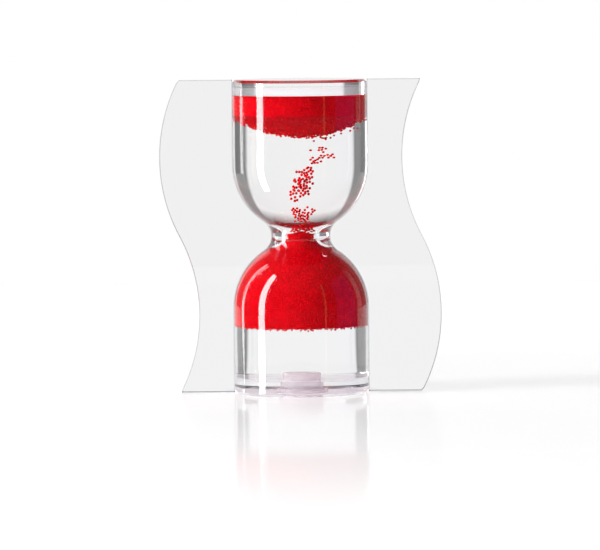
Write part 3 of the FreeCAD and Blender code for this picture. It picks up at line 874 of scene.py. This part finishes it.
def make_floor():
    """A white sheet, glossy behind and dull in front, that keeps the object's shadow and a faint reflection. Its glow
    is weaker near the object, which paints shade around the base.

    Through the clear plastic it shows plain tones: a painted contact shadow under the base, one behind the panels, and
    the backdrop's bands, painted on the floor as shade, where the light has gone through the whole vessel. Mirrored
    light passes it.
    """
    mesh = bpy.data.meshes.new("floor")
    x, front, back = FLOOR_HALF_WIDTH, FLOOR_FRONT, FLOOR_BACK
    level = -FLOOR_GAP
    corners = [(-x, front, level), (x, front, level), (x, back, level), (-x, back, level)]
    mesh.from_pydata(corners, [], [(0, 1, 2, 3)])
    material, output = new_material("white_sheet")
    spot = add(material, "ShaderNodeSeparateXYZ")
    join(material, place(material), spot.inputs[0])
    across, deep = spot.outputs[0], spot.outputs[1]
    away = add(material, "ShaderNodeVectorMath", operation="LENGTH")
    join(material, place(material), away.inputs[0])
    distance = away.outputs["Value"]
    path = add(material, "ShaderNodeLightPath")

    shader = add(material, "ShaderNodeBsdfPrincipled", Base_Color=(*FLOOR_GREY, 1), IOR=1.45)
    dull = add(material, "ShaderNodeBsdfPrincipled", Base_Color=(*FLOOR_GREY, 1), Roughness=1.0, IOR=1.0)
    # The floor glows so that it reads white; the glow is weaker near the object, a painted shade around the base.
    for sheet, (low, high) in ((shader, GLOSSY_GLOW), (dull, DULL_GLOW)):
        sheet.inputs["Emission Color"].default_value = (1, 1, 1, 1)
        glow = ranged(material, distance, low, high, FLOOR_NEAR, FLOOR_FAR)
        join(material, glow, sheet.inputs["Emission Strength"])
    join(material, ranged(material, noise(material, 25, 2.0), 0.06, 0.10), shader.inputs["Roughness"])
    gloss = add(material, "ShaderNodeMixShader")
    join(material, ranged(material, deep, 0.80, 0.05, GLOSSY_UNTIL, DULL_FROM), gloss.inputs["Fac"])
    join(material, dull.outputs[0], gloss.inputs[1])
    join(material, shader.outputs[0], gloss.inputs[2])

    # Seen through the whole vessel, the floor behind shows the backdrop's bands: painted shade in the directions where
    # the room is dark. Nearer, behind the panels, it keeps a plain tone.
    near = add(material, "ShaderNodeMix", data_type="RGBA")
    whole = ranged(material, path.outputs["Transmission Depth"], 0.0, 1.0, 2.4, 2.6)
    behind = ranged(material, deep, 0.0, 1.0, *BANDS_FADE_IN)
    join(material, calc(material, "MULTIPLY", whole, behind), near.inputs["Factor"])
    near.inputs[6].default_value = (*BEHIND_PANELS, 1)
    bands = studio_level(material, across, calc(material, "ADD", deep, BAND_ORIGIN), BENT_STOPS)
    join(material, bands, near.inputs[7])
    tone = add(material, "ShaderNodeMix", data_type="RGBA")
    # Close to the axis the floor shows the painted shadow under the base instead of its other tones.
    outside = ranged(material, distance, 0.0, 1.0, 0.8 * TUBE_RADIUS, 1.25 * TUBE_RADIUS)
    join(material, outside, tone.inputs["Factor"])
    tone.inputs[6].default_value = (*UNDER_BASE_PAINTED_SHADOW, 1)
    join(material, near.outputs[2], tone.inputs[7])
    seen = add(material, "ShaderNodeEmission", Strength=1.0)
    join(material, tone.outputs[2], seen.inputs[0])

    passed = add(material, "ShaderNodeBsdfTransparent")
    mirrored = add(material, "ShaderNodeMixShader")
    join(material, path.outputs["Is Glossy Ray"], mirrored.inputs["Fac"])
    join(material, gloss.outputs[0], mirrored.inputs[1])
    join(material, passed.outputs[0], mirrored.inputs[2])
    mix = add(material, "ShaderNodeMixShader")
    join(material, path.outputs["Is Transmission Ray"], mix.inputs["Fac"])
    join(material, mirrored.outputs[0], mix.inputs[1])
    join(material, seen.outputs[0], mix.inputs[2])
    join(material, mix.outputs[0], output.inputs["Surface"])
    mesh.materials.append(material)
    floor = bpy.data.objects.new("floor", mesh)
    bpy.context.scene.collection.objects.link(floor)


make_floor()


def make_world():
    """A white backdrop straight behind, dark on both sides of it, and a dim room in front. Mirrored light finds the
    left side darker still."""
    world = bpy.data.worlds.new("studio")
    bpy.context.scene.world = world
    world.use_nodes = True
    world.node_tree.nodes.clear()
    direction = add(world, "ShaderNodeSeparateXYZ")
    join(world, add(world, "ShaderNodeTexCoord").outputs["Generated"], direction.inputs[0])
    x, y, z = direction.outputs
    path = add(world, "ShaderNodeLightPath")
    bent = add(world, "ShaderNodeMix", data_type="RGBA")
    join(world, path.outputs["Is Transmission Ray"], bent.inputs["Factor"])
    dimmed = add(world, "ShaderNodeVectorMath", operation="SCALE")
    join(world, studio_level(world, x, y, STUDIO_STOPS), dimmed.inputs[0])
    join(world, ranged(world, x, LEFT_SHARE, 1.0, *LEFT_FADE), dimmed.inputs["Scale"])
    join(world, dimmed.outputs[0], bent.inputs[6])
    join(world, studio_level(world, x, y, BENT_STOPS), bent.inputs[7])
    overhead = add(world, "ShaderNodeMix", data_type="RGBA")
    join(world, ranged(world, z, 0.0, 1.0, *OVERHEAD_FADE), overhead.inputs["Factor"])
    join(world, bent.outputs[2], overhead.inputs[6])
    overhead.inputs[7].default_value = (*OVERHEAD, 1)
    room = add(world, "ShaderNodeBackground", Strength=1.0)
    join(world, overhead.outputs[2], room.inputs["Color"])
    white = add(world, "ShaderNodeBackground", Strength=1.0)
    white.inputs["Color"].default_value = (1, 1, 1, 1)
    choice = add(world, "ShaderNodeMixShader")
    join(world, path.outputs["Is Camera Ray"], choice.inputs["Fac"])
    join(world, room.outputs[0], choice.inputs[1])
    join(world, white.outputs[0], choice.inputs[2])
    output = add(world, "ShaderNodeOutputWorld")
    join(world, choice.outputs[0], output.inputs["Surface"])


make_world()


def softbox(name, off_front, distance, width, height, level, lift, colour=(1.0, 1.0, 1.0)):
    """A lamp that faces the object's axis. off_front is its angle in degrees from the front, left if positive."""
    lamp = bpy.data.lights.new(name, "AREA")
    lamp.shape = "RECTANGLE"
    lamp.size, lamp.size_y = width, height
    lamp.energy = level * math.pi * width * height
    lamp.color = colour
    angle = math.radians(off_front)
    stand = Vector((-math.sin(angle) * distance, -math.cos(angle) * distance, lift))
    thing = bpy.data.objects.new(name, lamp)
    bpy.context.scene.collection.objects.link(thing)
    facing = (Vector((0, 0, lift)) - stand).to_track_quat("-Z", "Y")
    thing.matrix_world = Matrix.Translation(stand) @ facing.to_matrix().to_4x4()
    return thing


def unseen(lamp):
    """The lamp lights things, but no ray meets it."""
    lamp.visible_camera = lamp.visible_glossy = lamp.visible_transmission = False
    return lamp


LIFT = 0.25
WARM, VIOLET = (1.0, 0.50, 0.22), (0.28, 0.16, 1.0)

softbox("key_strip", 71.3, 0.90, 0.20, 1.7, 18.0, LIFT)
rim = softbox("rim_strip", 119.0, 1.00, 0.14, 1.7, 6.0, LIFT)
softbox("warm_strip", -42.0, 1.00, 0.06, 1.2, 1.3, LIFT, WARM)
violet = softbox("violet_glow", -85.0, 1.00, 0.80, 1.2, 0.30, LIFT, VIOLET)
rim.visible_diffuse = violet.visible_diffuse = False
unseen(softbox("room_fill_left", 25.0, 1.20, 1.1, 1.1, 1.45, 0.35, (1.0, 0.98, 0.97)))
unseen(softbox("room_fill_right", -50.0, 1.20, 1.1, 1.1, 1.3, 0.35, (0.98, 0.93, 1.0)))
bounce = unseen(softbox("table_bounce", 0.0, 0.42, 0.9, 0.6, 5.0, 0.003))
bounce.matrix_world = Matrix.Translation(bounce.location) @ Matrix.Rotation(math.pi, 4, "X")

# ------------------------------------------------------------------ the camera

CAMERA_AWAY = 1.636
CAMERA_HEIGHT = 0.160
CAMERA_SIDE = -0.0004
CAMERA_PITCH = math.radians(-3.96)
CAMERA_ROLL = math.radians(-0.5)

camera_data = bpy.data.cameras.new("camera")
camera_data.lens = 246.0
camera_data.sensor_width = 36.0
camera_data.clip_end = 20.0
camera = bpy.data.objects.new("camera", camera_data)
bpy.context.scene.collection.objects.link(camera)
camera.matrix_world = (
    Matrix.Translation((CAMERA_SIDE, -CAMERA_AWAY, CAMERA_HEIGHT))
    @ Matrix.Rotation(math.pi / 2 + CAMERA_PITCH, 4, "X")
    @ Matrix.Rotation(CAMERA_ROLL, 4, "Z")
)
bpy.context.scene.camera = camera

scene = bpy.context.scene
scene.view_settings.view_transform = "Standard"
scene.cycles.max_bounces = 24
scene.cycles.transmission_bounces = 24
scene.cycles.glossy_bounces = 10
scene.cycles.diffuse_bounces = 3
scene.cycles.transparent_max_bounces = 64
